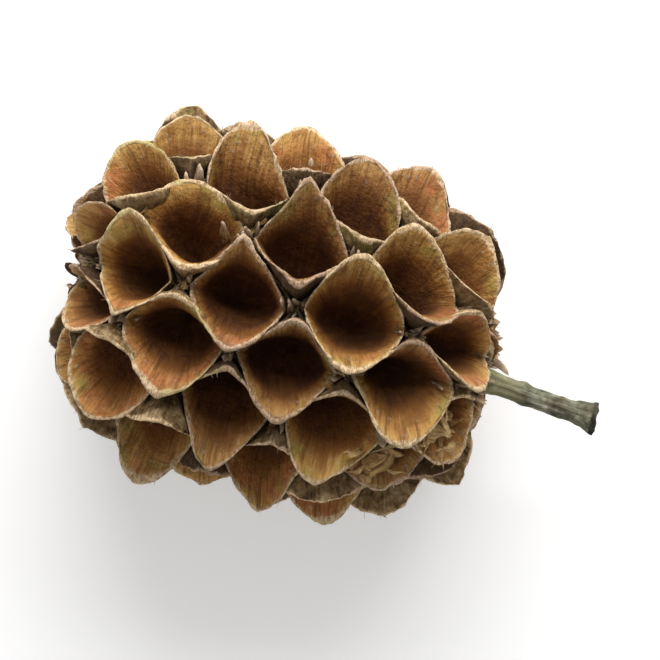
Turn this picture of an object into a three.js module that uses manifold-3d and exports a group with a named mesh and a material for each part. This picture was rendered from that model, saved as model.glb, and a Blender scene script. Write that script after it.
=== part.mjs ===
// Casuarina cone lying on its side: a woody head of gaping seed chambers on its short cut stalk.
// Millimetres, +Z up. +X runs along the head, from its blunt tip to the cut end of the stalk.
import * as THREE from 'three';
import { mergeVertices } from 'three/addons/utils/BufferGeometryUtils.js';
import Module from 'manifold-3d';

const wasm = await Module();
wasm.setup();

// Driving dimensions
const axisHeight = 8.25; // of the head's axis above the surface that the valves rest on
const headPlace = -2.67; // x of the head's middle, which centres the whole cone on the origin
const headRadius = 6.2; // woody body, between the valves
const tipEnd = { length: 8.7, bluntness: 3.4 }; // from the head's middle to its tip
const stalkEnd = { length: 9.7, bluntness: 2.6 }; // from the head's middle to the stalk

const whorls = 8; // rings of chambers along the head
const whorlPitch = 2.58; // along the surface of the body
const middleWhorl = 3.6; // place of the head's middle, counted in whorls from the tip
const chambersInWhorl = 8; // each whorl stands in the gaps of the last
const firstTurn = THREE.MathUtils.degToRad(-16.5);
const smallestChamber = 0.45; // height of the valves at the very ends, as a share of the full height

// A place on a chamber is [whorls along the head, half steps round it, millimetres out of the woody
// body] from the chamber's middle. These rings give a quarter each: the tip of a valve, its shoulder
// and flank, the cheek, and the seam where the two valves meet.
const ground = [[0, 0.84, 0.1], [0.16, 0.84, 0.2], [0.5, 0.5, 1.05], [0.84, 0.16, 0.2], [0.84, 0, 0.1]];
const rim = [[0, 0.68, 2.6], [0.27, 0.58, 2.15], [0.44, 0.42, 1.25], [0.62, 0.2, 0.6], [0.7, 0, 0.4]];
const bowl = [[0, 0.56, 0.9], [0.23, 0.48, 0.7], [0.4, 0.34, 0.3], [0.53, 0.18, -0.1], [0.6, 0, -0.2]];
const waist = [[0, 0.42, -0.9], [0.18, 0.38, -0.9], [0.32, 0.28, -0.9], [0.42, 0.15, -0.9], [0.46, 0, -0.9]];
const footDepth = 3.3;

// The outside of a valve's lip at its tip and shoulder. Elsewhere the lip runs down to the ground.
const lip = [[0, 0.86, 2.5], [0.34, 0.74, 2.05], ...ground.slice(2)];

// Seeded differences between valves, for each millimetre of their height above the steady part
const steadyHeight = 1.2;
const mostSway = 0.05; // along the head
const mostStretch = 0.14; // outwards

const gapHalf = 1 - ground[0][1]; // half the size of a gap between four chambers
const bract = { height: 1, lean: -0.06 }; // the small scale in each gap
const sterile = { along: 0.75, height: 0.7 }; // closed chambers beyond the last whorls
const driedPoint = 1.1; // at the middle of the tip

// The stalk, in millimetres from the head's middle: [radius, along], from its root in the head to its
// cut end. It leans to one side and droops a little.
const stalkProfile = [[0.54, 7.6], [0.62, 9.6], [0.5, 11], [0.5, 13.6], [0.58, 14.8], [0.78, 15.45], [0.74, 15.6]];
const stalkSides = 16;
const stalkStart = -0.35; // to the side, at its root
const stalkLean = -0.95; // further to the side, at its cut end
const stalkDroop = -0.4;
const slip = 0.3; // clear space round the stalk in its socket

// Half of the body's outline, from the head's middle to one of its ends.
class HalfOutline extends THREE.Curve {
  constructor(end) {
    super();
    this.end = end;
    this.arcLengthDivisions = 1000;
  }

  getPoint(t) {
    const turn = (Math.PI / 2) * t;
    const power = 2 / this.end.bluntness;
    return new THREE.Vector2(this.end.length * Math.sin(turn) ** power, headRadius * Math.cos(turn) ** power);
  }
}

const tipOutline = new HalfOutline(tipEnd);
const stalkOutline = new HalfOutline(stalkEnd);

// A place on or above the body, from its whorl, its half step round the head, and its height.
function place(whorl, step, height) {
  const side = whorl < middleWhorl ? -1 : 1;
  const outline = side < 0 ? tipOutline : stalkOutline;
  const distance = Math.abs(whorl - middleWhorl) * whorlPitch;
  const share = Math.min(distance / outline.getLength(), 1);
  const point = outline.getPointAt(share);
  const tangent = outline.getTangentAt(share);
  const size = smallestChamber + (1 - smallestChamber) * (point.y / headRadius);
  const radius = Math.max(point.y + height * size * tangent.x, 0);
  const turn = firstTurn + (Math.PI * step) / chambersInWhorl;
  return new THREE.Vector3(
    side * (point.x - height * size * tangent.y),
    radius * Math.sin(turn),
    radius * Math.cos(turn),
  );
}

// A repeatable draw from -1 to 1 for one trait of the valve at a place.
function draw(whorl, step, trait) {
  const wave = Math.sin(whorl * 12.9898 + step * 4.1414 + trait * 78.233) * 43758.5453;
  return 2 * (wave - Math.floor(wave)) - 1;
}

const corners = [];

function triangle(a, b, c) {
  if (a.equals(b) || b.equals(c) || c.equals(a)) return;
  corners.push(...a.toArray(), ...b.toArray(), ...c.toArray());
}

// Faces between two rings that run clockwise as seen from outside, the second nearer the middle.
function strip(ring, inner) {
  for (let i = 0; i < ring.length; i++) {
    const next = (i + 1) % ring.length;
    triangle(ring[next], ring[i], inner[i]);
    triangle(ring[next], inner[i], inner[next]);
  }
}

function fan(ring, middle) {
  for (let i = 0; i < ring.length; i++) {
    triangle(ring[(i + 1) % ring.length], ring[i], middle);
  }
}

// The whole ring round a chamber, from the places of its quarter.
function ringOf(quarter, whorl, step) {
  const perQuarter = quarter.length - 1;
  const ring = [];
  for (let i = 0; i < 4 * perQuarter; i++) {
    const fold = i % (2 * perQuarter);
    const [along, across, height] = quarter[fold <= perQuarter ? fold : 2 * perQuarter - fold];
    const alongSide = i < 2 * perQuarter ? 1 : -1;
    const acrossSide = i < perQuarter || i > 3 * perQuarter ? 1 : -1;
    const free = Math.max(height - steadyHeight, 0);
    const sway = mostSway * free * draw(whorl, step, acrossSide);
    const stretch = mostStretch * free * draw(whorl, step, 3 + acrossSide);
    ring.push(place(whorl + alongSide * along + sway, step + acrossSide * across, height + stretch));
  }
  return ring;
}

function addChamber(whorl, step) {
  const rings = [ground, lip, rim, bowl, waist].map((quarter) => ringOf(quarter, whorl, step));
  for (let i = 1; i < rings.length; i++) {
    strip(rings[i - 1], rings[i]);
  }
  fan(rings.at(-1), place(whorl, step, -footDepth));
}

// The ground at one of a gap's corners or the middle of one of its sides
function gapEdge(whorl, step, along, across) {
  const height = along === 0 || across === 0 ? ground[0][2] : ground[1][2];
  return place(whorl + along * gapHalf, step + across * gapHalf, height);
}

// A bract in the gap between four chambers
function addBract(whorl, step) {
  const around = [[0, 1], [1, 1], [1, 0], [1, -1], [0, -1], [-1, -1], [-1, 0], [-1, 1]];
  const ring = around.map(([along, across]) => gapEdge(whorl, step, along, across));
  fan(ring, place(whorl + bract.lean, step, bract.height));
}

// A closed chamber beyond the last whorl, which side says at which end of the head
function addSterile(whorl, step, side) {
  const flank = ground[2];
  const ring = [
    gapEdge(whorl, step, side, -1),
    gapEdge(whorl, step, side, 0),
    gapEdge(whorl, step, side, 1),
    place(whorl + side * flank[0], step + flank[1], flank[2]),
    gapEdge(whorl + side, step + 1, -side, -1),
    gapEdge(whorl + side, step + 1, 0, -1),
    gapEdge(whorl + side, step + 1, side, -1),
    gapEdge(whorl + side, step - 1, side, 1),
    gapEdge(whorl + side, step - 1, 0, 1),
    gapEdge(whorl + side, step - 1, -side, 1),
    place(whorl + side * flank[0], step - flank[1], flank[2]),
  ];
  fan(side < 0 ? ring.reverse() : ring, place(whorl + side * sterile.along, step, sterile.height));
}

// The cap at an end of the head, round its pole
function addCap(whorl, firstStep, side, height) {
  const ring = [];
  for (let i = 0; i < chambersInWhorl; i++) {
    for (const across of [-1, 0, 1]) {
      ring.push(gapEdge(whorl, firstStep + 2 * i, side, across));
    }
  }
  fan(side < 0 ? ring.reverse() : ring, place(whorl + side * whorls, 0, height));
}

for (let i = 0; i < chambersInWhorl; i++) {
  for (let whorl = 0; whorl < whorls; whorl++) {
    addChamber(whorl, 2 * i + (whorl % 2));
    addBract(whorl, 2 * i + 1 + (whorl % 2));
  }
  addBract(-1, 2 * i);
  addSterile(0, 2 * i + 1, -1);
  addBract(whorls, 2 * i + 1);
  addSterile(whorls - 1, 2 * i, 1);
}
addCap(-1, 0, -1, driedPoint);
addCap(whorls, 1, 1, 0);

// The stalk turned on the head's axis, then leant; grow makes the larger shape that clears its socket
function stalkShape(grow) {
  const outline = stalkProfile.map(([radius, along]) => new THREE.Vector2(radius + grow, along));
  outline[0].y -= grow;
  const root = new THREE.Vector2(0, outline[0].y);
  const cutEnd = new THREE.Vector2(0, outline.at(-1).y);
  const geometry = new THREE.LatheGeometry([root, ...outline, cutEnd], stalkSides).rotateZ(-Math.PI / 2);
  const places = geometry.attributes.position;
  const [, start] = stalkProfile[0];
  const [, end] = stalkProfile.at(-1);
  for (let i = 0; i < places.count; i++) {
    const share = (places.getX(i) - start) / (end - start);
    places.setY(i, places.getY(i) + stalkStart + stalkLean * share);
    places.setZ(i, places.getZ(i) + stalkDroop * share ** 2);
  }
  return geometry.translate(headPlace, 0, axisHeight);
}

function solidOf(geometry) {
  const bare = geometry.clone();
  bare.deleteAttribute('normal');
  bare.deleteAttribute('uv');
  const merged = mergeVertices(bare, 1e-4);
  return new wasm.Manifold(
    new wasm.Mesh({
      numProp: 3,
      vertProperties: merged.attributes.position.array,
      triVerts: new Uint32Array(merged.index.array),
    }),
  );
}

function meshOf(name, solid, material) {
  const { vertProperties, triVerts } = solid.getMesh();
  const geometry = new THREE.BufferGeometry();
  geometry.setAttribute('position', new THREE.BufferAttribute(vertProperties, 3));
  geometry.setIndex(new THREE.BufferAttribute(triVerts, 1));
  geometry.computeVertexNormals();
  const mesh = new THREE.Mesh(geometry, material);
  mesh.name = name;
  return mesh;
}

const skin = new THREE.BufferGeometry();
skin.setAttribute('position', new THREE.Float32BufferAttribute(corners, 3));
skin.translate(headPlace, 0, axisHeight);

const up = [0, 0, 1];
const head = solidOf(skin)
  .subtract(solidOf(stalkShape(slip)))
  .trimByPlane(up, 0)
  .decompose()
  .sort((a, b) => b.volume() - a.volume())[0];
const stalk = solidOf(stalkShape(0));

const wood = new THREE.MeshStandardMaterial({ color: 0x8a6642, roughness: 0.7, metalness: 0 });
const bark = new THREE.MeshStandardMaterial({ color: 0x6c6a54, roughness: 0.85, metalness: 0 });

const cone = new THREE.Group();
cone.add(meshOf('cone_head', head, wood), meshOf('stalk', stalk, bark));

export default cone;
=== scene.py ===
import math

import bmesh
import bpy
import numpy as np
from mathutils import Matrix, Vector


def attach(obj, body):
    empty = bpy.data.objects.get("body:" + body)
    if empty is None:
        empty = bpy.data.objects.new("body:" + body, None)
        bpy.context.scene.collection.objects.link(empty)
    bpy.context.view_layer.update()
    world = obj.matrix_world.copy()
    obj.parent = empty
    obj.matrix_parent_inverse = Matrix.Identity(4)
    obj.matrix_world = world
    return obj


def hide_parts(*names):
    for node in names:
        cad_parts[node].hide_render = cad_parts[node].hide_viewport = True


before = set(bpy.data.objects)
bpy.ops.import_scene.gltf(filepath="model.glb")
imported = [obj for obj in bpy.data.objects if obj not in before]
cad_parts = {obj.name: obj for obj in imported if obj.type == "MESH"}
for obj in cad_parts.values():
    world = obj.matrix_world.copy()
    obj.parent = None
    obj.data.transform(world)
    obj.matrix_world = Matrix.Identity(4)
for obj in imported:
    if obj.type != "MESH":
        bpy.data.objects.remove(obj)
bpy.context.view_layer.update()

mm = 0.001
rng = np.random.default_rng(11)  # for random differences, drawn piece after piece
variety = np.random.default_rng(51)  # for each chamber's own width, heights and point

# The woody body and the lattice of chambers on it. Whorls are counted from the tip, and a step is half
# the angle between two chambers of a whorl.
head = dict(
    middle=-2.67 * mm, axisHeight=8.25 * mm, radius=6.2 * mm,
    tipLength=8.7 * mm, tipBluntness=3.4, stalkLength=9.7 * mm, stalkBluntness=2.6,
    whorls=8, pitch=2.58 * mm, middleWhorl=3.6, chambersInWhorl=8, firstTurn=math.radians(-16.5),
    smallest=0.45,  # share of its height that a chamber would have at the very ends
    skew=0.5, skewReach=5,  # in whorls: how much nearer the tip the +Y side is, and how far from the middle
    wander=[(5.5 * mm, 0.26 * mm), (2.2 * mm, 0.25 * mm)],  # size and reach of its slow unevenness
    wanderSeeds=(21, 22, 23),
    press=0.22 * mm, slant=0.01, pressEnd=1.2,  # the blunt tip is pushed in and slants, up to that share
    stalkSlope=0.06, stalkShift=0.25 * mm,  # the other end slopes back on its +Y side and sits off the axis
)


def halfOutline(length, bluntness, stops=4000):
    # superellipse (x / length)^b + (r / radius)^b = 1 and its outward normal, tabled by distance along it
    turn = np.linspace(0, math.pi / 2, stops)
    x = length * np.sin(turn) ** (2 / bluntness)
    r = head["radius"] * np.cos(turn) ** (2 / bluntness)
    distance = np.concatenate([[0], np.cumsum(np.hypot(np.diff(x), np.diff(r)))])
    outX = (x / length) ** (bluntness - 1) / length
    outR = (r / head["radius"]) ** (bluntness - 1) / head["radius"]
    size = np.hypot(outX, outR)
    return distance, x, r, outX / size, outR / size


tipOutline = halfOutline(head["tipLength"], head["tipBluntness"])
stalkOutline = halfOutline(head["stalkLength"], head["stalkBluntness"])


def place(whorl, step, height):
    # body point at that distance along its outline and at that turn, plus height along the outward normal,
    # times smallest + (1 - smallest) r / radius. The whorls run askew: on the +Y side they are nearer the
    # tip by skew sin(turn)^2 (1 - |w / skewReach|^3), with w counted from the middle
    whorl, step, height = np.broadcast_arrays(whorl, step, height)
    turn = head["firstTurn"] + math.pi * step / head["chambersInWhorl"]
    fromMiddle = np.minimum(np.abs(whorl - head["middleWhorl"]) / head["skewReach"], 1)
    whorl = whorl - head["skew"] * np.maximum(np.sin(turn), 0) ** 2 * (1 - fromMiddle ** 3)
    distance = np.abs(whorl - head["middleWhorl"]) * head["pitch"]
    isTip = whorl < head["middleWhorl"]
    onTip, onStalk = ([np.interp(distance, outline[0], values) for values in outline[1:]]
                      for outline in (tipOutline, stalkOutline))
    x, r, outX, outR = np.where(isTip, onTip, onStalk)
    rise = height * (head["smallest"] + (1 - head["smallest"]) * r / head["radius"])
    radius = np.maximum(r + rise * outR, 0)
    along = np.where(isTip, -1, 1) * (x + rise * outX)
    return np.stack([head["middle"] + along, radius * np.sin(turn),
                     head["axisHeight"] + radius * np.cos(turn)], axis=-1)


def softNoise(points, size, seed, octaves=1):
    # value noise: seeded values on a cubic grid of that size, blended smoothly between its corners, and
    # summed over octaves, each of half the size and half the strength of the last
    side = 32  # of the table of values, after which it repeats
    shift = 7.3  # between octaves, so that their grids don't line up
    table = np.random.default_rng(seed).uniform(-1, 1, (side, side, side))
    total = np.zeros(points.shape[:-1])
    for octave in range(octaves):
        cell = points / size * 2 ** octave + shift * octave
        low = np.floor(cell).astype(int)
        t = cell - low
        t = t * t * (3 - 2 * t)
        for corner in np.ndindex(2, 2, 2):
            weight = np.prod(np.where(corner, t, 1 - t), axis=-1)
            x, y, z = np.moveaxis((low + corner) % side, -1, 0)
            total += weight * table[x, y, z] / 2 ** octave
    return total


def grown(points):
    # noise moves the whole head unevenly. Towards the tip x also moves by share^2 (press - slant y),
    # towards the stalk by -share^2 slope y on the +Y side and y by -share^2 shift, and nothing stays below
    # z = 0, which the head lies on
    moved = points.copy()
    for size, reach in head["wander"]:
        moved += reach * np.stack([softNoise(points, size, seed) for seed in head["wanderSeeds"]], axis=-1)
    tipShare = np.clip((head["middle"] - points[..., 0]) / head["tipLength"], 0, head["pressEnd"]) ** 2
    stalkShare = np.clip((points[..., 0] - head["middle"]) / head["stalkLength"], 0, 1) ** 2
    moved[..., 0] += tipShare * (head["press"] - head["slant"] * points[..., 1])
    moved[..., 0] -= head["stalkSlope"] * stalkShare * np.maximum(points[..., 1], 0)
    moved[..., 1] -= head["stalkShift"] * stalkShare
    moved[..., 2] = np.maximum(moved[..., 2], 0)
    return moved


def unit(vectors, tiny=1e-15):
    # each vector over its own length
    return vectors / np.maximum(np.linalg.norm(vectors, axis=-1, keepdims=True), tiny)


def turnsOf(columns):
    # the turn of each column of a ring, in even steps from 0
    return 2 * math.pi * np.arange(columns) / columns


def hump(value, middle, half):
    # exp(-d^2), with d the distance from the middle over half
    return np.exp(-((value - middle) / half) ** 2)


def signedPower(value, power):
    # |value|^power with the sign of value
    return np.sign(value) * np.abs(value) ** power


def waves(turn, counts, phases):
    # sum of sines of those whole counts round the ring, each over the root of its count
    sines = (np.sin(count * turn + phases[..., i, None]) / count ** 0.5 for i, count in enumerate(counts))
    return sum(sines) / len(counts) ** 0.5


def gridNormals(points):
    # outward unit normals of closed rings: the step from row to row crossed with the step round the ring
    rows = np.gradient(points, axis=-3)
    columns = np.roll(points, -1, axis=-2) - np.roll(points, 1, axis=-2)
    return unit(np.cross(rows, columns))


def roughened(points, reach, size, seed, octaves):
    # points moved along their normals by reach times noise
    return points + reach * softNoise(points, size, seed, octaves)[..., None] * gridNormals(points)


def splineRows(rings, rowPlaces):
    # Catmull-Rom curve through the rings, at each of rowPlaces counted in rings
    last = rings.shape[0] - 1
    low = np.clip(np.floor(rowPlaces).astype(int), 0, last - 1)
    t = rowPlaces - low
    weights = np.zeros((len(rowPlaces), last + 1))
    shares = [-0.5 * t + t ** 2 - 0.5 * t ** 3, 1 - 2.5 * t ** 2 + 1.5 * t ** 3,
              0.5 * t + 2 * t ** 2 - 1.5 * t ** 3, -0.5 * t ** 2 + 0.5 * t ** 3]
    for offset, share in zip((-1, 0, 1, 2), shares):
        np.add.at(weights, (np.arange(len(rowPlaces)), np.clip(low + offset, 0, last)), share)
    return np.tensordot(weights, rings, axes=(1, 0))


def patch(points, tone, rowPlaces=None):
    # quads between neighbouring rows and columns of one or more grids of closed rings: points is (grids,
    # rows, columns, 3). The UV map runs from 0 to 1 round the rings, and down the rows or as rowPlaces say
    grids, rows, columns, _ = points.shape
    index = np.arange(grids * rows * columns).reshape(grids, rows, columns)
    after = np.roll(index, -1, axis=2)
    quads = np.stack([after[:, :-1], index[:, :-1], index[:, 1:], after[:, 1:]], axis=-1)
    across = np.linspace(0, 1, columns + 1)
    down = np.linspace(0, 1, rows) if rowPlaces is None else rowPlaces
    uv = np.broadcast_to(np.stack(np.meshgrid(across, down), axis=-1), (grids, rows, columns + 1, 2))
    corners = np.stack([uv[:, :-1, 1:], uv[:, :-1, :-1], uv[:, 1:, :-1], uv[:, 1:, 1:]], axis=-2)
    return dict(points=points.reshape(-1, 3), quads=quads.reshape(-1, 4), corners=corners.reshape(-1, 2),
                tone=np.broadcast_to(tone, points.shape[:3]).reshape(-1))


mergeDistance = 1e-7  # metres between two points that are one


def madePiece(name, patches, node, material):
    # one mesh from several patches, its doubles merged, with the UV map "shape" and the attribute "tone"
    starts = np.cumsum([0] + [len(part["points"]) for part in patches[:-1]])
    points = np.concatenate([part["points"] for part in patches])
    quads = np.concatenate([part["quads"] + start for part, start in zip(patches, starts)])
    corners = np.concatenate([part["corners"] for part in patches])
    tone = np.concatenate([part["tone"] for part in patches])
    mesh = bpy.data.meshes.new(name)
    mesh.vertices.add(len(points))
    mesh.vertices.foreach_set("co", points.reshape(-1).astype(np.float32))
    mesh.loops.add(quads.size)
    mesh.loops.foreach_set("vertex_index", quads.reshape(-1).astype(np.int32))
    mesh.polygons.add(len(quads))
    mesh.polygons.foreach_set("loop_start", np.arange(0, quads.size, 4, dtype=np.int32))
    mesh.polygons.foreach_set("use_smooth", np.ones(len(quads), dtype=bool))
    mesh.update(calc_edges=True)
    mesh.uv_layers.new(name="shape").data.foreach_set("uv", corners.reshape(-1).astype(np.float32))
    layer = mesh.attributes.new("tone", "FLOAT", "POINT")
    layer.data.foreach_set("value", tone.astype(np.float32))
    shape = bmesh.new()
    shape.from_mesh(mesh)
    bmesh.ops.remove_doubles(shape, verts=shape.verts, dist=mergeDistance)
    shape.to_mesh(mesh)
    shape.free()
    mesh.materials.append(material)
    piece = bpy.data.objects.new(name, mesh)
    bpy.context.scene.collection.objects.link(piece)
    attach(piece, "root")
    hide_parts(node)


# Materials

class Shade:
    # one output of a material's nodes, with arithmetic on values as Math nodes
    def __init__(self, tree, socket=None):
        self.tree = tree
        self.socket = socket

    def node(self, kind, settings=None, inputs=None, output=0):
        # a new node: its settings, among them a ramp's stops, and the values or links of its sockets
        made = self.tree.nodes.new(kind)
        for name, value in (settings or {}).items():
            if name == "stops":
                ramp = made.color_ramp
                while len(ramp.elements) < len(value):
                    ramp.elements.new(0.5)  # anywhere, as its place is set below
                for element, (position, colour) in zip(ramp.elements, value):
                    element.position = position
                    element.color = (*colour, 1)
            else:
                setattr(made, name, value)
        for name, value in (inputs or {}).items():
            if isinstance(value, Shade):
                self.tree.links.new(value.socket, made.inputs[name])
            else:
                made.inputs[name].default_value = value
        return Shade(self.tree, made.outputs[output])

    def math(self, operation, *values):
        # each value is nodes or a plain number
        return self.node("ShaderNodeMath", {"operation": operation}, dict(enumerate(values)))

    def __add__(self, other):
        return self.math("ADD", self, other)

    def __radd__(self, other):
        return self.math("ADD", other, self)

    def __sub__(self, other):
        return self.math("SUBTRACT", self, other)

    def __rsub__(self, other):
        return self.math("SUBTRACT", other, self)

    def __mul__(self, other):
        return self.math("MULTIPLY", self, other)

    def __rmul__(self, other):
        return self.math("MULTIPLY", other, self)

    def between(self, low, high):
        # 0 below low, 1 above high, smooth between them
        return self.node("ShaderNodeMapRange", {"interpolation_type": "SMOOTHSTEP"},
                         {"Value": self, "From Min": low, "From Max": high})

    def swing(self, reach):
        # a noise's swing about its middle, times reach
        return (self - 0.5) * reach

    def ramp(self, *stops):
        return self.node("ShaderNodeValToRGB", {"stops": stops}, {"Fac": self})

    def mixed(self, factor, one, other, blend="MIX"):
        # two colours, each of them nodes or plain numbers: a Mix node's sockets 6 and 7, and its output 2
        colours = [value if isinstance(value, Shade) else (*value, 1) for value in (one, other)]
        return self.node("ShaderNodeMix", {"data_type": "RGBA", "blend_type": blend},
                         {0: factor, 6: colours[0], 7: colours[1]}, 2)

    def mix(self, one, other):
        # one where this is 0, other where it is 1
        return self.mixed(self, one, other)

    def noise(self, vector, scale, detail=4, roughness=0.55, distortion=0.0):
        return self.node("ShaderNodeTexNoise", None,
                         {"Vector": vector, "Scale": scale, "Detail": detail, "Roughness": roughness,
                          "Distortion": distortion})

    def vector(self, x, y, z):
        return self.node("ShaderNodeCombineXYZ", None, {"X": x, "Y": y, "Z": z})

    def stripes(self, around, down, tone, counts, shifts):
        # places at which a noise turns into stripes, so many round and down, and other ones for each tone
        return self.vector(around * counts[0] + tone * shifts[0], down * counts[1], tone * shifts[1])


def startMaterial(name):
    # the new material, a Shade of its nodes, and what its patterns are read from: the object's own
    # coordinates, the shares of the way round and down a piece's surface, and the tone of its part
    material = bpy.data.materials.new(name)
    material.use_nodes = True
    shade = Shade(material.node_tree)
    where = shade.node("ShaderNodeTexCoord", output="Object")
    surface = shade.node("ShaderNodeUVMap", {"uv_map": "shape"})
    around = shade.node("ShaderNodeSeparateXYZ", None, {"Vector": surface})
    down = Shade(shade.tree, around.socket.node.outputs["Y"])
    tone = shade.node("ShaderNodeAttribute", {"attribute_name": "tone"}, output="Fac")
    return material, shade, where, around, down, tone


reliefStrength = 0.9


def finishMaterial(material, shade, colour, roughness, height, depth, specular):
    # colour, roughness and a relief of that depth on the material's own shader
    shader = material.node_tree.nodes["Principled BSDF"]
    shader.inputs["Specular IOR Level"].default_value = specular
    relief = shade.node("ShaderNodeBump", None,
                        {"Strength": reliefStrength, "Distance": depth, "Height": height})
    for name, value in (("Base Color", colour), ("Roughness", roughness), ("Normal", relief)):
        shade.tree.links.new(value.socket, shader.inputs[name])
    return material


# Colours of the dry wood, from the outside of a valve over its lip to the bottom of its chamber
wood = dict(
    # the first is the darkest fleck colour, and also painted shade at the valves' feet and the scales'
    # roots
    darkFleckAndShade=(0.030, 0.016, 0.007), back=(0.200, 0.125, 0.060), backPale=(0.46, 0.345, 0.215),
    darkBack=(0.070, 0.036, 0.018),
    lip=(0.32, 0.205, 0.110), lipPale=(0.76, 0.57, 0.40), lichen=(0.46, 0.42, 0.15),
    # the face colours after the first step down into painted shade towards the bottom of the chamber
    face=(0.54, 0.310, 0.105), faceMiddleShade=(0.400, 0.198, 0.058), faceLowShadeAndBand=(0.220, 0.088, 0.022),
    cavityShade=(0.120, 0.046, 0.019), russet=(0.48, 0.150, 0.065), streak=(0.075, 0.032, 0.010),
    straw=(0.66, 0.48, 0.20), olive=(0.38, 0.33, 0.085), dust=(0.50, 0.42, 0.30),
)

# Stripes and bands: how many round a chamber and down its wall, and how far its tone shifts them
chamberLook = dict(
    stripes=(70, 4), stripeShifts=(31, 17), fineStripes=3.3, bands=(24, 5), bandShifts=(13, 7),
    mottle=800, speckle=3200, blotches=190, patches=330, lichen=260, lipWander=620,  # how many to a metre
    # depths between which each sets in or ends, from the ground outside the wall, 0, to its bottom, 1
    gapEnd=(0.05, 0.09), footStart=(0.04, 0.12), footEnd=(0.12, 0.26), faceStart=(0.46, 0.49),
    lipStart=(0.325, 0.36), lipEnd=(0.465, 0.495), hollowStart=(0.58, 0.68), smoothStart=(0.46, 0.52),
    roughness=0.64, rougherOutside=0.2, relief=0.24 * mm, specular=0.22,
)


def chamberWood():
    # a colour for the faces, one for the backs and one for the lips, mixed by the depth down the wall
    look = chamberLook
    material, shade, where, around, down, tone = startMaterial("chamberWood")
    grainPlace = shade.stripes(around, down, tone, look["stripes"], look["stripeShifts"])
    grain = shade.noise(grainPlace, 1, 3, 0.6)
    fineGrain = shade.noise(grainPlace, look["fineStripes"], 3, 0.6)
    bandPlace = shade.stripes(around, down, tone, look["bands"], look["bandShifts"])
    bands = shade.noise(bandPlace, 1, 3, 0.6, 0.6)
    mottle = shade.noise(where, look["mottle"], 4, 0.65)
    speckle = shade.noise(where, look["speckle"], 3, 0.6)
    blotches = shade.noise(where, look["blotches"], 3, 0.55)
    patches = shade.noise(where, look["patches"], 3, 0.6, 0.5)

    # the inner faces: striped, in patches of several browns, and darkened by painted shade into the hollow
    upper = 1 - (down + mottle.swing(0.08)).between(*look["hollowStart"])
    depth = down + mottle.swing(0.11) + grain.swing(0.07)
    # painted shade: the face darkens by depth down into the hollow
    face = depth.ramp((0.50, wood["face"]), (0.60, wood["faceMiddleShade"]), (0.675, wood["faceLowShadeAndBand"]),
                      (0.73, wood["cavityShade"]))
    face = (blotches.between(0.52, 0.64) * upper * 0.65).mix(face, wood["russet"])
    face = (patches.between(0.54, 0.66) * upper * 0.6).mix(face, wood["olive"])
    face = ((1 - grain.between(0.30, 0.46)) * upper * 0.5).mix(face, wood["straw"])
    face = (grain.between(0.50, 0.68) * 0.55).mix(face, wood["streak"])
    face = (bands.between(0.52, 0.64) * 0.5).mix(face, wood["faceLowShadeAndBand"])
    face = (mottle.between(0.50, 0.62) * 0.55).mix(face, wood["faceLowShadeAndBand"])
    face = (speckle.between(0.58, 0.70) * upper * 0.5).mix(face, wood["dust"])

    # the valves' outsides: mottled, some darker by their tone, painted shade at the foot, and the gaps'
    # floor
    rough = mottle * 0.55 + speckle * 0.25 + grain * 0.3
    back = rough.ramp((0.40, wood["darkFleckAndShade"]), (0.53, wood["back"]), (0.70, wood["backPale"]))
    back = (patches.between(0.54, 0.66) * 0.35).mix(back, wood["olive"])
    back = ((1 - tone.between(0.25, 0.60)) * 0.62).mix(back, wood["darkBack"])
    # painted shade where the backs meet the ground between the chambers
    footShade = (down + mottle.swing(0.1)).between(*look["footStart"]) * (1 - down.between(*look["footEnd"]))
    back = (footShade * 0.9).mix(back, wood["darkFleckAndShade"])
    gapFloor = rough.ramp((0.38, wood["darkFleckAndShade"]), (0.50, wood["backPale"]), (0.66, wood["lipPale"]))
    back = (1 - (down + mottle.swing(0.06)).between(*look["gapEnd"])).mix(back, gapFloor)
    colour = (down + grain.swing(0.02)).between(*look["faceStart"]).mix(back, face)

    # the pale lips, which wander up and down the wall
    lip = (fineGrain * 0.5 + speckle * 0.5).ramp((0.40, wood["lip"]), (0.56, wood["lipPale"]))
    lip = (shade.noise(where, look["lichen"], 2).between(0.56, 0.68) * 0.55).mix(lip, wood["lichen"])
    wander = shade.noise(where, look["lipWander"], 3, 0.6).swing(0.24)
    outerEdge = (down + mottle.swing(0.09) + wander).between(*look["lipStart"])
    innerEdge = (down + grain.swing(0.07) + speckle.swing(0.05) + wander).between(*look["lipEnd"])
    colour = (outerEdge * (1 - innerEdge)).mix(colour, lip)

    # whole valves darker or paler by their tone
    tint = tone.ramp((0.05, (0.66, 0.60, 0.54)), (0.35, (0.95, 0.90, 0.88)), (0.65, (1.0, 1.0, 0.86)),
                     (0.95, (1.16, 1.12, 0.98)))
    colour = shade.mixed(1, colour, tint, "MULTIPLY")
    outside = 1 - down.between(*look["smoothStart"])
    roughness = look["roughness"] + outside * look["rougherOutside"] + mottle.swing(0.3)
    height = grain * 0.45 + fineGrain * 0.3 + mottle * 0.8 + speckle * 0.35
    return finishMaterial(material, shade, colour, roughness, height, look["relief"], look["specular"])


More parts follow.
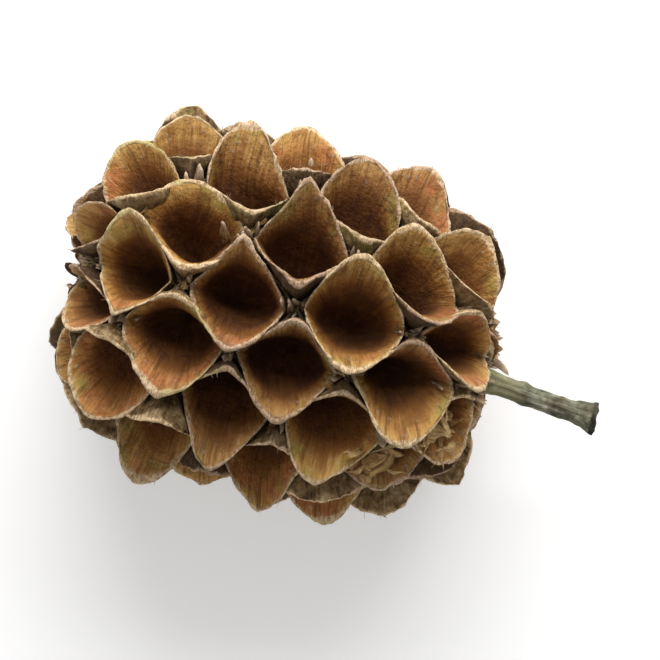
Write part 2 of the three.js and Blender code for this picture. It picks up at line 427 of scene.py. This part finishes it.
def scaleWood():
    # fibrous and mottled, painted shade at the root, pale towards the point, dark brown where tone is low
    material, shade, where, around, down, tone = startMaterial("scaleWood")
    fibre = shade.noise(shade.stripes(around, down, tone, (14, 1.5), (31, 17)), 1.6, 4, 0.65)
    mottle = shade.noise(where, 1500, 4, 0.65)
    rough = fibre * 0.5 + mottle * 0.5
    colour = rough.ramp((0.36, wood["darkFleckAndShade"]), (0.46, wood["back"]), (0.58, wood["backPale"]))
    colour = ((down.between(0.45, 0.95) + mottle.swing(0.5)) * 0.8).mix(colour, wood["lipPale"])
    # painted shade at the roots, which sit deep in the gaps
    colour = ((1 - down.between(0.0, 0.25)) * 0.6).mix(colour, wood["darkFleckAndShade"])
    colour = (1 - tone.between(0.1, 0.2)).mix(colour, wood["streak"])
    return finishMaterial(material, shade, colour, 0.85 + mottle.swing(0.2), rough, 0.12 * mm, 0.3)


looseColours = dict(
    fibreDark=(0.10, 0.065, 0.030), fibre=(0.30, 0.21, 0.11), fibrePale=(0.56, 0.45, 0.29),
    flakeDark=(0.18, 0.095, 0.034), flake=(0.42, 0.245, 0.088), flakePale=(0.70, 0.47, 0.21),
    vein=(0.12, 0.072, 0.030),
)


def fibreStrand():
    # dark to pale by the fibre's tone, with a little noise
    material, shade, where, _, _, tone = startMaterial("fibreStrand")
    colour = (tone + shade.noise(where, 900).swing(0.5)).ramp(
        (0.1, looseColours["fibreDark"]), (0.5, looseColours["fibre"]), (0.9, looseColours["fibrePale"]))
    return finishMaterial(material, shade, colour, 0.85 + tone.swing(0.1), tone, 0.01 * mm, 0.3)


def paleFlake():
    # dark to pale by tone and mottle, with darker veins along it
    material, shade, where, around, down, tone = startMaterial("paleFlake")
    mottle = shade.noise(where, 2400, 4, 0.65)
    colour = (tone * 0.5 + mottle * 0.5).ramp(
        (0.25, looseColours["flakeDark"]), (0.42, looseColours["flake"]), (0.62, looseColours["flakePale"]))
    veins = shade.noise(shade.vector(around * 30, down * 2, tone * 9), 1.5, 3).between(0.5, 0.7)
    colour = (veins * 0.4).mix(colour, looseColours["vein"])
    return finishMaterial(material, shade, colour, 0.8 + mottle.swing(0.2), veins + mottle, 0.06 * mm, 0.3)


bark = dict(
    crack=(0.035, 0.034, 0.022), low=(0.125, 0.125, 0.080), high=(0.260, 0.258, 0.178),
    dust=(0.50, 0.485, 0.37), brown=(0.085, 0.060, 0.034), young=(0.40, 0.385, 0.20),
    endDark=(0.014, 0.012, 0.009), endPale=(0.085, 0.072, 0.048),
)


def stalkBark():
    # ridges along the stalk with mottle and speckle, brown in places, yellower near the head, and dark
    # round and on the cut end, where tone is high
    material, shade, where, around, down, tone = startMaterial("stalkBark")
    ridge = shade.noise(shade.vector(around * 26, down * 5, 0.0), 1, 3, 0.6)
    mottle = shade.noise(where, 1100, 4, 0.65, 0.4)
    speckle = shade.noise(where, 4200, 3, 0.6)
    rough = ridge * 0.28 + mottle * 0.5 + speckle * 0.25
    colour = rough.ramp((0.40, bark["crack"]), (0.49, bark["low"]), (0.58, bark["high"]),
                        (0.68, bark["dust"]))
    brown = shade.noise(where, 420, 3).between(0.52, 0.62) * 0.5
    colour = brown.mix(colour, bark["brown"])
    young = (1 - (down + mottle.swing(0.3)).between(0.22, 0.5)) * 0.65
    colour = young.mix(colour, bark["young"])
    endGrain = shade.noise(where, 2600, 3, 0.6).ramp((0.4, bark["endDark"]), (0.68, bark["endPale"]))
    colour = tone.between(0.6, 0.95).mix(colour, endGrain)
    return finishMaterial(material, shade, colour, 0.8 + mottle.swing(0.3), rough, 0.14 * mm, 0.3)


# Rings of a chamber's wall, from the ground outside it over the lip and down to the seeds' place: half
# widths along the head (whorls) and round it (steps), height at the seam and at the valves' tips (mm),
# and how pointed the ring is at the tips and at the seam, where 1 is round and 2 straight-sided
chambers = dict(
    rings=[
        (1.000, 1.000, 0.42, 0.32, 2.00, 2.00),
        (0.925, 0.940, 0.22, 0.38, 1.82, 1.93),
        (0.880, 0.890, 0.42, 1.30, 1.52, 1.82),
        (0.860, 0.870, 0.64, 2.36, 1.35, 1.75),
        (0.835, 0.815, 0.78, 2.60, 1.29, 1.71),
        (0.790, 0.740, 0.62, 2.38, 1.23, 1.64),
        (0.740, 0.675, 0.20, 1.70, 1.18, 1.55),
        (0.655, 0.580, -0.28, 0.70, 1.14, 1.39),
        (0.565, 0.470, -1.45, -1.00, 1.09, 1.13),
        (0.385, 0.340, -2.40, -2.30, 1.00, 1.00),
        (0.000, 0.00, -3.20, -3.20, 1.00, 1.00),
    ],
    lipRing=4, lipReach=1.4,  # the ring of the lip, and rings either way that its fray and curl reach
    ownGrows=3, ownFades=5,  # rings over which a chamber's own shape sets in, and ends at its bottom
    columns=96, crest=1.7,
    rows=[0, 0.5, 1, 1.35, 1.7, 2, 2.35, 2.7, 3, 3.3, 3.6, 3.85, 4.1, 4.4, 4.7, 5, 5.35, 5.7, 6, 6.4,
          6.8, 7.2, 7.6, 8, 8.5, 9, 9.5, 10],  # tenths of the way down
    # the most that a valve sways (whorls), stretches, gapes (share of its width) and curls
    sway=0.055, stretch=0.46 * mm, shrunk=0.02 * mm, gape=0.05, mostRaised=1.2, raisedPower=1.5,
    curl=0.14 * mm, curlPower=6, pointed=0.20,
    fray=0.12 * mm, frayWaves=(3, 5, 8, 11, 15, 20, 27, 34, 43),
    wobble=0.024, wobbleWaves=(2, 3, 5, 7, 10, 14, 19, 26, 33), wobbleShift=29,
    groove=0.045 * mm, grooveWaves=(13, 17, 22, 26, 31, 35, 39, 43, 47),
    grooved=[(1, 0.6, 0.13), (0.8, 0.24, 0.13)],  # strength, and middle and half width down the wall
    # reach, middle and half width down the wall, size, seed and octaves
    lumps=[(0.10 * mm, 0.24, 0.13, 0.75 * mm, 31, 3), (0.05 * mm, 0.6, 0.13, 0.6 * mm, 32, 3),
           (0.075 * mm, 0.4, 0.07, 0.42 * mm, 35, 2)],
)

# What is particular to some chambers, by whorl and step: its half width along the head and the height
# of its valve towards +step and of the other one, as shares of the usual ones, and how much more pointed
# it is. The others draw the same four at random, about ownMean and as widely as ownSpread
particular = {
    (2, 2): (1.18, 0.62, 0.88, -1.0), (2, 0): (1.08, 0.78, 1.0, -0.6), (4, 0): (1.06, 0.80, 0.95, -0.5),
    (6, 0): (1.04, 0.80, 1.0, -1.0), (3, 1): (0.98, 0.92, 1.05, 0.7), (0, 0): (1.0, 0.8, 0.9, 0.0),
    (5, 15): (1.02, 0.85, 1.15, 0.8), (1, 3): (0.92, 1.05, 0.9, 0.3), (1, 1): (0.92, 1.0, 0.9, 0.9),
    (4, 2): (0.98, 1.1, 0.95, 1.0), (3, 3): (0.86, 1.0, 0.85, -0.3), (5, 3): (0.90, 1.05, 0.8, 0.0),
    (6, 14): (0.95, 0.7, 0.65, 0.0), (7, 15): (0.95, 0.6, 0.8, -0.5), (3, 15): (0.98, 0.85, 1.15, 1.2),
    (5, 1): (1.0, 1.0, 1.0, 0.2), (6, 2): (1.0, 1.0, 1.0, 0.0), (7, 1): (1.0, 1.0, 1.0, 0.3),
    (2, 4): (1.02, 1.12, 0.85, 0.8), (4, 4): (0.96, 1.08, 0.8, 1.0), (6, 4): (0.96, 1.25, 0.8, 0.8),
    (7, 3): (1.0, 1.20, 0.9, 0.6), (3, 5): (1.0, 0.82, 0.85, 0.4), (1, 5): (1.0, 0.95, 0.9, 0.3),
    (5, 5): (1.0, 0.95, 0.9, 0.2), (0, 14): (0.95, 0.65, 0.75, 0.0), (0, 12): (0.95, 0.65, 0.8, 0.0),
    (1, 15): (1.0, 0.85, 0.95, 0.4), (7, 13): (0.95, 0.7, 0.7, 0.0), (-1, 15): (0.9, 0.6, 0.6, 0.0),
    (4, 14): (1.0, 0.9, 1.1, 1.0),
}
ownMean = (1.0, 1.0, 1.0, 0.15)
ownSpread = (0.055, 0.13, 0.13, 0.55)

# A chamber at an end of the head never opened: its two valves close in a ridge with a slit along it
closedRings = [
    (1.000, 1.00, 0.42, 0.32, 2.00, 2.00),
    (0.900, 0.86, 0.20, 0.20, 1.80, 1.80),
    (0.800, 0.66, 0.36, 0.60, 1.50, 1.50),
    (0.680, 0.40, 0.50, 1.00, 1.30, 1.30),
    (0.600, 0.17, 0.62, 1.22, 1.20, 1.20),
    (0.560, 0.07, 0.58, 1.15, 1.00, 1.00),
    (0.520, 0.03, 0.35, 0.80, 1.00, 1.00),
    (0.300, 0.01, 0.20, 0.30, 1.00, 1.00),
    (0.000, 0.00, 0.20, 0.30, 1.00, 1.00),
]


def chamberPatch(ringTable, whorl, random):
    # each ring is p = a sgn(sin t)|sin t|^e along the head, q = b sgn(cos t)|cos t|^f round it, and
    # h = low + (high - low)|cos t|^crest out of it. The valves then sway, stretch, gape and curl, the lip
    # frays, and the wall gets grooves and lumps
    step = 2 * np.arange(head["chambersInWhorl"]) + whorl % 2
    count = len(step)
    turn = turnsOf(chambers["columns"])
    sine = np.sin(turn)
    cosine = np.cos(turn)
    crest = np.abs(cosine) ** chambers["crest"]
    valve = (cosine < 0).astype(int)
    traits = random.uniform(-1, 1, (6, count, 2))
    sway, stretch, gape, curl, point, tone = (trait[:, valve] for trait in traits)
    phases = random.uniform(0, 2 * math.pi, (3, count, len(chambers["frayWaves"])))
    fray = waves(turn, chambers["frayWaves"], phases[0])
    wobble = waves(turn, chambers["wobbleWaves"], phases[1])
    otherWobble = np.roll(wobble, chambers["wobbleShift"], axis=1)
    groove = waves(turn, chambers["grooveWaves"], phases[2])
    own = variety.normal(ownMean, ownSpread, (count, 4))
    for i in range(count):
        own[i] = particular.get((whorl, step[i]), own[i])
    width = own[:, :1]
    share = own[:, 1:3][:, valve]
    point = point + own[:, 3:]
    lipHeight = ringTable[chambers["lipRing"]][3] * mm
    last = len(ringTable) - 1
    rings = []
    for order, (along, across, low, high, tipPower, seamPower) in enumerate(ringTable):
        nearLip = hump(order, chambers["lipRing"], chambers["lipReach"])
        free = min(order / chambers["ownGrows"], 1) * min((last - order) / chambers["ownFades"], 1)
        tall = high * share if high > 0 else high
        height = (low + (tall - low) * crest) * mm
        raised = np.clip(height / lipHeight, 0, chambers["mostRaised"]) ** chambers["raisedPower"]
        p = signedPower(sine, tipPower + chambers["pointed"] * free * point)
        p = along * (1 + (width - 1) * free) * p
        p = p + chambers["sway"] * raised * sway + chambers["wobble"] * nearLip * wobble * np.abs(cosine)
        q = across * signedPower(cosine, seamPower) * (1 + chambers["gape"] * raised * gape)
        q = q + np.sign(cosine) * chambers["wobble"] * nearLip * otherWobble * np.abs(sine)
        height = height + raised * (chambers["stretch"] * stretch - chambers["shrunk"])
        height = height + chambers["fray"] * nearLip * fray
        height = height - chambers["curl"] * curl * nearLip * np.abs(cosine) ** chambers["curlPower"]
        rings.append(np.stack(np.broadcast_arrays(p, q, height), axis=-1))
    depth = np.array(chambers["rows"]) / 10
    lattice = np.moveaxis(splineRows(np.stack(rings), depth * last), 0, 1)
    points = place(whorl + lattice[..., 0], step[:, None, None] + lattice[..., 1], lattice[..., 2])
    down = depth[:, None]
    grooved = sum(strength * hump(down, middle, half) for strength, middle, half in chambers["grooved"])
    relief = chambers["groove"] * groove[:, None] * grooved
    for reach, middle, half, size, seed, octaves in chambers["lumps"]:
        relief = relief + reach * hump(down, middle, half) * softNoise(points, size, seed, octaves)
    points = grown(points + relief[..., None] * gridNormals(points))
    return points, patch(points, tone[:, None] * 0.5 + 0.5, depth)


# The small pointed scales that fill each gap between four chambers: how many, how far they stand from its
# middle and their half widths, in whorls and steps, their height and how far they splay over it, their
# growth beside each other, and rows of (share of the half widths, share of the height)
scales = dict(
    perGap=8, spread=0.105, halfWidth=0.10, halfThickness=0.04, rise=1.25 * mm, splay=0.4,
    growth=(0.6, 1.35), tones=(0.3, 1), columns=8,
    rough=(0.06 * mm, 0.3 * mm, 33, 2),  # reach, size, seed and octaves
    rows=[(1.3, -0.35), (1.1, 0.05), (0.95, 0.35), (0.65, 0.65), (0.3, 0.88), (0.0, 1.0)],
)
collar = dict(whorl=8.42, size=1.3)  # a ring of the same scales round the stalk


def scalePatch(whorl, step, random, size=1.0):
    # each row is a flat ellipse, turned at random, of its share of the half widths at its share of the
    # rise, with the scale standing off its gap's middle and splaying away from it as it rises
    angle = -turnsOf(scales["columns"])
    share, rise = np.array(scales["rows"]).T[:, None, :, None]
    offset = random.normal(0, scales["spread"], (2, len(whorl), 1, 1))
    grow = size * random.uniform(*scales["growth"], (len(whorl), 1, 1))
    turn = random.uniform(0, math.pi, (len(whorl), 1, 1))
    wide = scales["halfWidth"] * grow * share * np.cos(angle)
    thick = scales["halfThickness"] * grow * share * np.sin(angle)
    splayed = offset * (1 + scales["splay"] * rise)
    p = splayed[0] + wide * np.cos(turn) - thick * np.sin(turn)
    q = splayed[1] + wide * np.sin(turn) + thick * np.cos(turn)
    points = place(whorl[:, None, None] + p, step[:, None, None] + q, scales["rise"] * rise * grow)
    points = grown(roughened(points, *scales["rough"]))
    return patch(points, random.uniform(*scales["tones"], (len(whorl), 1, 1)))


# Strands and flakes: how many, length, width and thickness in mm, bend as a share of the length, how far
# they crumple in mm, and rows of (share of the width, share of the length)
fibres = dict(
    onLips=600, lipRow=12, wallRow=7,  # they start on one row of a chamber and point away from the other
    between=1100, betweenSize=1.6,  # in the gaps, and their size beside the ones on lips
    length=(0.08, 0.3), width=0.013, thickness=0.013, bend=0.45, crumple=0.0, columns=3,
    rows=[(1.0, 0.0), (0.85, 0.4), (0.55, 0.75), (0.0, 1.0)],
)
flakes = dict(
    between=50, length=(0.4, 0.85), width=0.27, thickness=0.03, bend=0.5, crumple=0.30, columns=28,
    rows=[(math.sin(math.pi * run) ** 0.6 * (1.1 - 0.5 * run), run)  # rounded, and wider near the root
          for run in np.linspace(0, 1, 15)],
)
strandWidths = (0.7, 1.3)  # from the narrowest to the widest beside the usual ones
crumpling = dict(size=0.30 * mm, seeds=(34, 36, 37), octaves=2)

# Torn flakes that caught in the gaps, in bunches: whorl, step, size beside the usual ones, and how many.
# Each bunch is spread over whorls and steps, and its roots lie between two heights in mm
torn = dict(
    spread=0.14, heights=(0.6, 1.35), lean=0.8,
    bunches=[
        (5.7, -1.55, 2.1, 13), (6.85, -0.95, 1.5, 12), (6.4, -1.0, 1.5, 4), (4, -1, 1.3, 2),
        (2, 1, 1.2, 1), (3, 2, 1.1, 1), (6.8, -1.8, 0.9, 3), (5, -2, 1.5, 2), (3, 4, 1.1, 1),
        (4, 6, 1.3, 2), (5, 9, 1.3, 3), (2, 7, 1.1, 2), (1, 10, 1.2, 1), (1, 8, 1.3, 2), (6, 12, 1.4, 3),
    ],
)


def strandPatch(form, roots, directions, random, size=1.0):
    # flat ellipses along a path that bends aside as the square of the share of its length, crumpled by
    # noise in every direction
    count = len(roots)
    share, run = np.array(form["rows"]).T[:, None, :, None, None]
    length = size * random.uniform(*form["length"], (count, 1, 1, 1)) * mm
    along = directions[:, None, None, :]
    aside = form["bend"] * random.normal(0, 1, (count, 1, 1, 3))
    path = roots[:, None, None, :] + length * (run * along + run ** 2 * aside)
    side = unit(np.cross(along, random.normal(0, 1, (count, 1, 1, 3))))
    other = np.cross(along, side)
    turn = -turnsOf(form["columns"])[:, None]
    wide = size * form["width"] * random.uniform(*strandWidths, (count, 1, 1, 1)) * mm
    flat = path + wide * share * np.cos(turn) * side
    crumple = np.stack([softNoise(flat / size, crumpling["size"], seed, crumpling["octaves"])
                        for seed in crumpling["seeds"]], axis=-1)
    points = flat + form["thickness"] * mm * share * np.sin(turn) * other
    points = points + crumple * form["crumple"] * mm * size * share
    points[..., 2] = np.maximum(points[..., 2], 0)
    return patch(points, random.uniform(0, 1, (count, 1, 1)))


def gapPlaces(whorl, step, random, spread=0.09, heights=(0.0, 0.8), lean=0.0):
    # places in those gaps, and the way there from a point inside the body, leant aside at random
    inside = -1.5 * mm
    offset = random.normal(0, spread, (2, len(whorl)))
    height = random.uniform(*heights, len(whorl)) * mm
    roots = grown(place(whorl + offset[0], step + offset[1], height))
    outwards = unit(roots - grown(place(whorl + offset[0], step + offset[1], inside)))
    return roots, unit(outwards + lean * random.normal(0, 1, outwards.shape))


# Single curved scales: where each starts, its way and its bend (mm), half width and half thickness (mm)
hookByStalk = dict(start=(6.9, 0.1, 8.9), way=(1.5, 1.0, 0.2), bend=(0.1, -1.3, 0.2), size=(0.24, 0.14))
tipProngs = [
    dict(start=(-11.4, 0.8, 8.8), way=(-0.8, 0.5, 0.5), bend=(-0.3, 0.3, 0.3), size=(0.30, 0.18)),
    dict(start=(-11.4, 0.1, 8.3), way=(-1.6, -0.3, 0.1), bend=(0.4, 0.5, 0.3), size=(0.32, 0.20)),
    dict(start=(-11.4, -0.5, 7.8), way=(-0.9, -0.2, -0.3), bend=(0.1, -0.4, -0.3), size=(0.28, 0.17)),
    dict(start=(-11.4, 0.4, 7.5), way=(-1.1, 0.6, -0.5), bend=(0.2, -0.2, 0.3), size=(0.26, 0.16)),
]
prongs = dict(rows=13, columns=12, hookTone=0.3, tipTone=0.05,
              rough=0.12 * mm, roughNoise=(0.3 * mm, 38, 2))  # reach, and size, seed and octaves


def prongPatch(prong, tone):
    # an ellipse carried along start + way t + bend t^2, shrinking as sqrt(1 - t^2) to a point
    t = np.linspace(0, 1, prongs["rows"])[:, None, None]
    start, way, bend = (np.array(prong[name]) * mm for name in ("start", "way", "bend"))
    path = start + way * t + bend * t ** 2
    along = way + 2 * bend * t
    side = unit(np.cross(along, (0, 0, 1)))
    other = unit(np.cross(side, along))
    turn = -turnsOf(prongs["columns"])[:, None]
    share = np.sqrt(1 - t ** 2)
    width, thickness = (half * mm for half in prong["size"])
    points = path + share * (width * np.cos(turn) * side - thickness * np.sin(turn) * other)
    rough = softNoise(points, *prongs["roughNoise"])[..., None] * share
    return patch((points + prongs["rough"] * rough * other)[None], tone)


# The cut stalk: radius (mm) by distance from the head's middle (mm), its lean and droop from root to cut
# end, its ribs and knobbles, and the rings of the cut end as shares of its rim
stalkShape = dict(
    profile=[(0.46, 7.6), (0.56, 9.2), (0.60, 9.9), (0.50, 10.7), (0.46, 11.6), (0.50, 12.0), (0.46, 12.4),
             (0.46, 13.4), (0.50, 13.9), (0.50, 14.4), (0.58, 14.95), (0.74, 15.4), (0.75, 15.56)],
    start=-0.35 * mm, lean=-0.95 * mm, droop=-0.4 * mm, root=7.6 * mm, cutEnd=15.6 * mm,
    columns=72, rowsPerStop=9, ribs=9, fineRibs=23, rib=0.028 * mm,
    drift=1.1, driftFrom=9 * mm, driftTo=15 * mm,  # how far the ribs turn, and between where
    knobbles=(0.045 * mm, 0.55 * mm, 41, 3),  # reach, size, seed and octaves
    darkFrom=15.1 * mm, darkOver=0.3 * mm,  # where the bark darkens, and over what length
    endRings=(1, 0.97, 0.9, 0.75, 0.58, 0.4, 0.2, 0), endSwell=0.05 * mm, endSink=0.04 * mm,
    endRough=0.06 * mm, endNoise=(0.3 * mm, 42, 2),  # reach, and size, seed and octaves
)


def alongStalk(along, radius, turn):
    # rings of that radius on a path that leans by lean share and droops by droop share^2, where share is
    # of the way from the root to the cut end
    share = (along - stalkShape["root"]) / (stalkShape["cutEnd"] - stalkShape["root"])
    return np.stack(np.broadcast_arrays(
        head["middle"] + along,
        stalkShape["start"] + stalkShape["lean"] * share + radius * np.cos(turn),
        head["axisHeight"] + stalkShape["droop"] * share ** 2 + radius * np.sin(turn)), axis=-1)


def stalkPatches():
    # the profile's rings, ribbed by sin(ribs t + drift) + sin(fineRibs t + 2 drift + 1) / 2, and a cut end
    # whose rings shrink to the middle, swollen by sin(pi share), slightly sunk and rough
    form = stalkShape
    turn = -turnsOf(form["columns"])
    profile = np.array(form["profile"]) * mm
    rowPlaces = np.linspace(0, len(profile) - 1, form["rowsPerStop"] * (len(profile) - 1) + 1)
    radius, along = splineRows(profile, rowPlaces).T[:, :, None]
    drift = np.interp(along, (form["driftFrom"], form["driftTo"]), (0, form["drift"]))
    ribs = np.sin(form["ribs"] * turn + drift) + 0.5 * np.sin(form["fineRibs"] * turn + 2 * drift + 1)
    side = alongStalk(along, radius + form["rib"] * ribs, turn)[None]
    side = roughened(side, *form["knobbles"])
    darkness = np.clip((along - form["darkFrom"]) / form["darkOver"], 0, 1)
    share = np.array(form["endRings"])[:, None]
    rim = side[0, -1]
    centre = rim.mean(axis=0)
    end = centre + share[..., None] * (rim - centre)
    rough = softNoise(end, *form["endNoise"]) * (1 - share ** 6)
    end[..., 0] += (form["endRough"] * rough + form["endSwell"] * np.sin(math.pi * share)
                    - form["endSink"] * (1 - share))
    return [patch(side, darkness), patch(end[None], 1.0)]


# Pieces

print("materials")
chamberMaterial = chamberWood()
scaleMaterial = scaleWood()
fibreMaterial = fibreStrand()
flakeMaterial = paleFlake()
barkMaterial = stalkBark()

print("seed chambers, whorl by whorl")
lipRoots = []
lipDirections = []
for whorl in range(head["whorls"]):
    points, walls = chamberPatch(chambers["rings"], whorl, rng)
    madePiece(f"chambers_whorl_{whorl + 1}", [walls], "cone_head", chamberMaterial)
    onLip = points[:, fibres["lipRow"]]
    lipRoots.append(onLip.reshape(-1, 3))
    lipDirections.append((onLip - points[:, fibres["wallRow"]]).reshape(-1, 3))

print("closed chambers at the ends")
closed = [chamberPatch(closedRings, whorl, rng)[1] for whorl in (-1, head["whorls"])]
madePiece("closed_chambers", closed, "cone_head", chamberMaterial)

print("scales between the chambers")
gaps = np.array([(whorl, 2 * i + 1 + whorl % 2) for whorl in range(-1, head["whorls"] + 1)
                 for i in range(head["chambersInWhorl"])], dtype=float)
gapScales = scalePatch(*np.repeat(gaps, scales["perGap"], axis=0).T, rng)
madePiece("gap_scales", [gapScales], "cone_head", scaleMaterial)

print("dried point at the tip and scales round the stalk")
madePiece("dried_tip", [prongPatch(prong, prongs["tipTone"]) for prong in tipProngs],
          "cone_head", scaleMaterial)
collarSteps = np.arange(2.0 * head["chambersInWhorl"])
collarScales = scalePatch(np.full(len(collarSteps), collar["whorl"]), collarSteps, rng, collar["size"])
madePiece("stalk_collar", [collarScales, prongPatch(hookByStalk, prongs["hookTone"])],
          "cone_head", scaleMaterial)

print("loose fibres and torn flakes")
roots = np.concatenate(lipRoots)
directions = unit(np.concatenate(lipDirections))
chosen = rng.choice(len(roots), fibres["onLips"], replace=False)
onLips = strandPatch(fibres, roots[chosen], directions[chosen], rng)
picked = gaps[rng.integers(0, len(gaps), fibres["between"])]
inGaps = strandPatch(fibres, *gapPlaces(*picked.T, rng), rng, fibres["betweenSize"])
madePiece("loose_fibres", [onLips, inGaps], "cone_head", fibreMaterial)
picked = gaps[rng.integers(0, len(gaps), flakes["between"])]
small = strandPatch(flakes, *gapPlaces(*picked.T, rng), rng)
bunches = np.repeat(torn["bunches"], [bunch[-1] for bunch in torn["bunches"]], axis=0)
tornPlaces = gapPlaces(*bunches[:, :2].T, rng, torn["spread"], torn["heights"], torn["lean"])
large = strandPatch(flakes, *tornPlaces, rng, bunches[:, 2, None, None, None])
madePiece("torn_flakes", [small, large], "cone_head", flakeMaterial)

print("stalk")
madePiece("cut_stalk", stalkPatches(), "stalk", barkMaterial)

# Stage: lengths in metres but for the sensor's, which is in mm, and powers in watts

studio = dict(
    floorReach=0.6, floorColour=(0.80, 0.80, 0.795, 1), floorRoughness=0.8, floorGlow=0.42,
    cameraHeight=0.5, viewWidth=31 * mm, sensor=36, clipEnd=10, roll=math.radians(12.9),
    keyPower=1.5, keySize=0.30, keyPlace=(-0.03, 0.26, 0.19),
    fillPower=0.09, fillSize=0.3, fillPlace=(-0.16, -0.16, 0.2), sky=0.36,
)


def addFloor():
    # a flat pale square that reaches floorReach each way, lifted by a little light of its own
    floorMesh = bpy.data.meshes.new("floor")
    reach = studio["floorReach"]
    floorMesh.from_pydata([(-reach, -reach, 0), (reach, -reach, 0), (reach, reach, 0), (-reach, reach, 0)],
                          [], [(0, 1, 2, 3)])
    floor = bpy.data.objects.new("floor", floorMesh)
    bpy.context.scene.collection.objects.link(floor)
    paper = bpy.data.materials.new("paleFloor")
    paper.use_nodes = True
    shader = paper.node_tree.nodes["Principled BSDF"]
    shader.inputs["Base Color"].default_value = studio["floorColour"]
    shader.inputs["Roughness"].default_value = studio["floorRoughness"]
    shader.inputs["Emission Color"].default_value = studio["floorColour"]
    shader.inputs["Emission Strength"].default_value = studio["floorGlow"]
    floorMesh.materials.append(paper)


def addLight(name, power, size, spot):
    # a square area light at that spot, turned to the origin
    light = bpy.data.lights.new(name, "AREA")
    light.energy = power
    light.size = size
    lamp = bpy.data.objects.new(name, light)
    lamp.location = spot
    lamp.rotation_euler = (-Vector(spot)).to_track_quat("-Z", "Y").to_euler()
    bpy.context.scene.collection.objects.link(lamp)


def addSky():
    # even white light from all round
    world = bpy.data.worlds.new("studioSky")
    world.use_nodes = True
    world.node_tree.nodes["Background"].inputs["Color"].default_value = (1, 1, 1, 1)
    world.node_tree.nodes["Background"].inputs["Strength"].default_value = studio["sky"]
    bpy.context.scene.world = world


def addCamera():
    # straight down on the lying cone, turned so that its stalk points down to the right, with a lens that
    # shows viewWidth at cameraHeight
    cameraData = bpy.data.cameras.new("camera")
    cameraData.sensor_width = studio["sensor"]
    cameraData.lens = studio["sensor"] * studio["cameraHeight"] / studio["viewWidth"]
    cameraData.clip_end = studio["clipEnd"]
    camera = bpy.data.objects.new("camera", cameraData)
    camera.location = (0, 0, studio["cameraHeight"])
    camera.rotation_euler = (0, 0, studio["roll"])
    bpy.context.scene.collection.objects.link(camera)
    bpy.context.scene.camera = camera


print("floor, lights and camera")
addFloor()
addLight("keyLight", studio["keyPower"], studio["keySize"], studio["keyPlace"])
addLight("fillLight", studio["fillPower"], studio["fillSize"], studio["fillPlace"])
addSky()
addCamera()
bpy.context.scene.view_settings.view_transform = "Standard"
